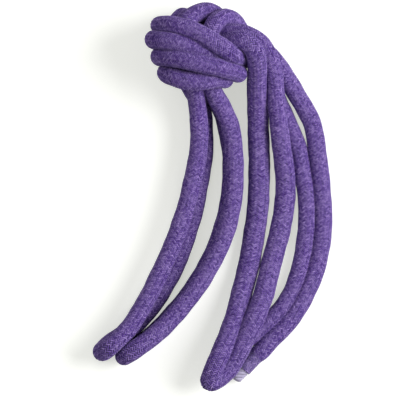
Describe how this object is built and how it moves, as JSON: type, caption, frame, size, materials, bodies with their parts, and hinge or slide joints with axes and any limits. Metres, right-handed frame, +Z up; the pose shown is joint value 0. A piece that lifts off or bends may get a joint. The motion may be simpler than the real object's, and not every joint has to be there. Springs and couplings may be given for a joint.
{
  "type": "knotted rope hank",
  "caption": "Soft round textile rope folded into a bundle and tied in one overhand knot, with eyes at its folds and clear sleeves on its free ends.",
  "frame": {"origin": "on the surface the rope lies on, under the middle of its bounding box", "axes": "+Z up, +Y along the hank from the eyes towards the knot, +X to the right legs"},
  "size_m": [0.1334, 0.2136, 0.0533],
  "materials": {
    "rope_cover": "fuzzy braided textile",
    "rope_core": "loose filling yarn",
    "clear_sleeve": "clear, slightly cloudy"
  },
  "bodies": {
    "root": {"right_leg_3": "rope_cover", "knot_strand_3": "rope_cover", "left_leg_3": "rope_cover", "left_eye_2": "rope_cover", "left_leg_4": "rope_cover", "knot_strand_4": "rope_cover", "right_leg_4": "rope_cover", "right_eye": "rope_cover", "right_leg_2": "rope_cover", "knot_strand_2": "rope_cover", "left_leg_2": "rope_cover", "left_eye_1": "rope_cover", "left_leg_1": "rope_cover", "knot_strand_1": "rope_cover", "right_leg_1": "rope_cover", "gripped_cover_1": "rope_cover", "gripped_cover_3": "rope_cover", "core_end_1": "rope_core", "core_end_3": "rope_core", "end_sleeve_1": "clear_sleeve", "end_sleeve_3": "clear_sleeve"}
  },
  "joints": []
}
